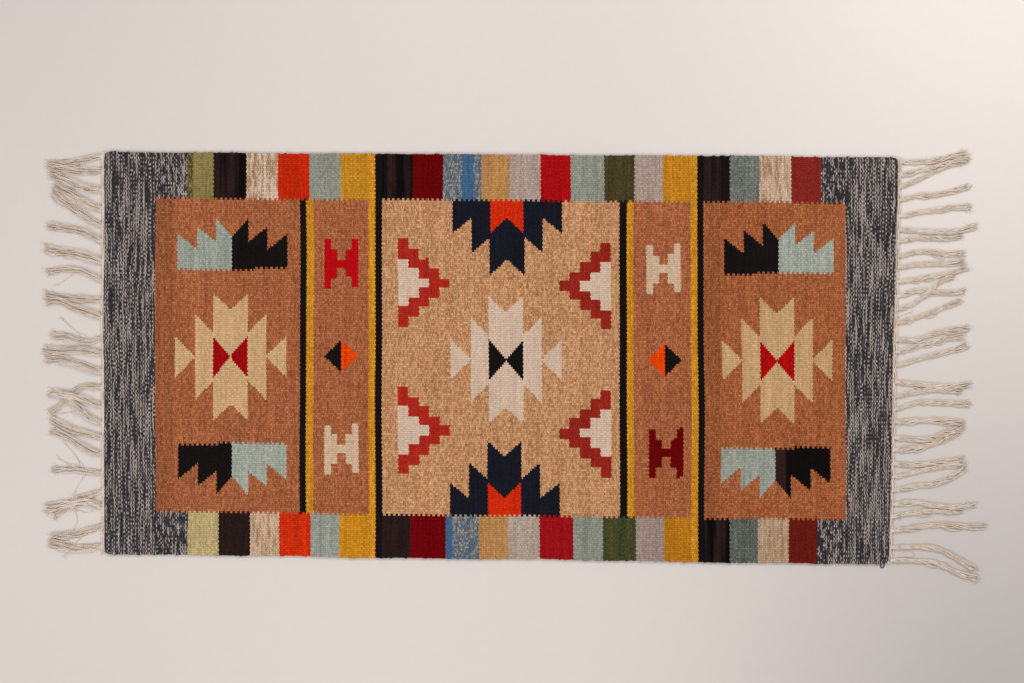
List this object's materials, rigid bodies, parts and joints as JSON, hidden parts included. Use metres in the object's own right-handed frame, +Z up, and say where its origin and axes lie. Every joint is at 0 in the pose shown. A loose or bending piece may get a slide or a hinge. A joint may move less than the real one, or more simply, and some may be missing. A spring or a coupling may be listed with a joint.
{
  "type": "area rug",
  "caption": "Hand-woven flat kilim rug with stepped stars, combs, crowns and chevrons, marl ends, a block border along both long edges, and a knotted cotton fringe at each end.",
  "frame": {"origin": "centre of the woven body on the underside that lies on the floor", "axes": "+X along the warps towards the longer fringe, +Y across the rug, +Z up from the floor"},
  "size_m": [1.432, 0.6576, 0.0061],
  "materials": {
    "marl_wool": "navy and ivory marl wool, coarse ribbed weft face",
    "terracotta_wool": "matte wool with weft streaks",
    "tan_wool": "matte wool, ochre and pink strands",
    "black_wool": "matte wool",
    "yellow_wool": "matte wool",
    "cream_wool": "matte undyed wool",
    "beige_wool": "matte wool",
    "red_wool": "matte wool",
    "dark_red_wool": "matte wool",
    "brick_wool": "matte wool",
    "orange_wool": "matte wool",
    "teal_wool": "matte wool",
    "teal_grey_wool": "matte wool",
    "sage_wool": "matte wool",
    "olive_wool": "matte wool",
    "dark_green_wool": "matte wool",
    "blue_wool": "matte wool",
    "blue_marl_wool": "blue and ivory marl wool",
    "gold_wool": "matte wool",
    "grey_wool": "matte wool",
    "navy_wool": "matte wool",
    "cotton_cord": "unbleached cotton",
    "cotton_warp": "unbleached twisted cotton",
    "cotton_fringe": "unbleached twisted cotton strands, frayed at the tips",
    "tail_yarn": "navy wool yarn"
  },
  "bodies": {
    "root": {"black_diamond_halves": "black_wool", "black_edge_blocks": "black_wool", "blue_edge_blocks": "blue_wool", "blue_marl_edge_blocks": "blue_marl_wool", "centre_bow_tie": "black_wool", "centre_star": "cream_wool", "chevron_fills": "cream_wool", "cream_edge_blocks": "cream_wool", "crown_hearts": "orange_wool", "dark_green_edge_blocks": "dark_green_wool", "dark_red_edge_blocks": "dark_red_wool", "gold_edge_blocks": "gold_wool", "grey_edge_blocks": "grey_wool", "left_black_stripes": "black_wool", "left_bow_tie": "red_wool", "left_end_cord": "cotton_cord", "left_fringe": "cotton_fringe", "left_marl_border": "marl_wool", "left_star": "beige_wool", "left_terracotta_band": "terracotta_wool", "left_terracotta_field": "terracotta_wool", "left_yellow_stripes": "yellow_wool", "lower_crown": "navy_wool", "lower_left_black_comb": "black_wool", "lower_left_chevron": "brick_wool", "lower_left_h": "cream_wool", "lower_left_teal_comb": "teal_wool", "lower_right_black_comb": "black_wool", "lower_right_chevron": "brick_wool", "lower_right_h": "dark_red_wool", "lower_right_teal_comb": "teal_wool", "olive_edge_blocks": "olive_wool", "orange_diamond_halves": "orange_wool", "orange_edge_blocks": "orange_wool", "red_edge_blocks": "red_wool", "right_black_stripes": "black_wool", "right_bow_tie": "red_wool", "right_end_cord": "cotton_cord", "right_fringe": "cotton_fringe", "right_marl_border": "marl_wool", "right_star": "beige_wool", "right_terracotta_band": "terracotta_wool", "right_terracotta_field": "terracotta_wool", "right_yellow_stripes": "yellow_wool", "sage_edge_blocks": "sage_wool", "tan_centre_field": "tan_wool", "teal_grey_edge_blocks": "teal_grey_wool", "upper_crown": "navy_wool", "upper_left_black_comb": "black_wool", "upper_left_chevron": "brick_wool", "upper_left_h": "red_wool", "upper_left_teal_comb": "teal_wool", "upper_right_black_comb": "black_wool", "upper_right_chevron": "brick_wool", "upper_right_h": "cream_wool", "upper_right_teal_comb": "teal_wool", "warps": "cotton_warp", "yarn_tail": "tail_yarn", "yellow_edge_blocks": "yellow_wool"}
  },
  "joints": []
}
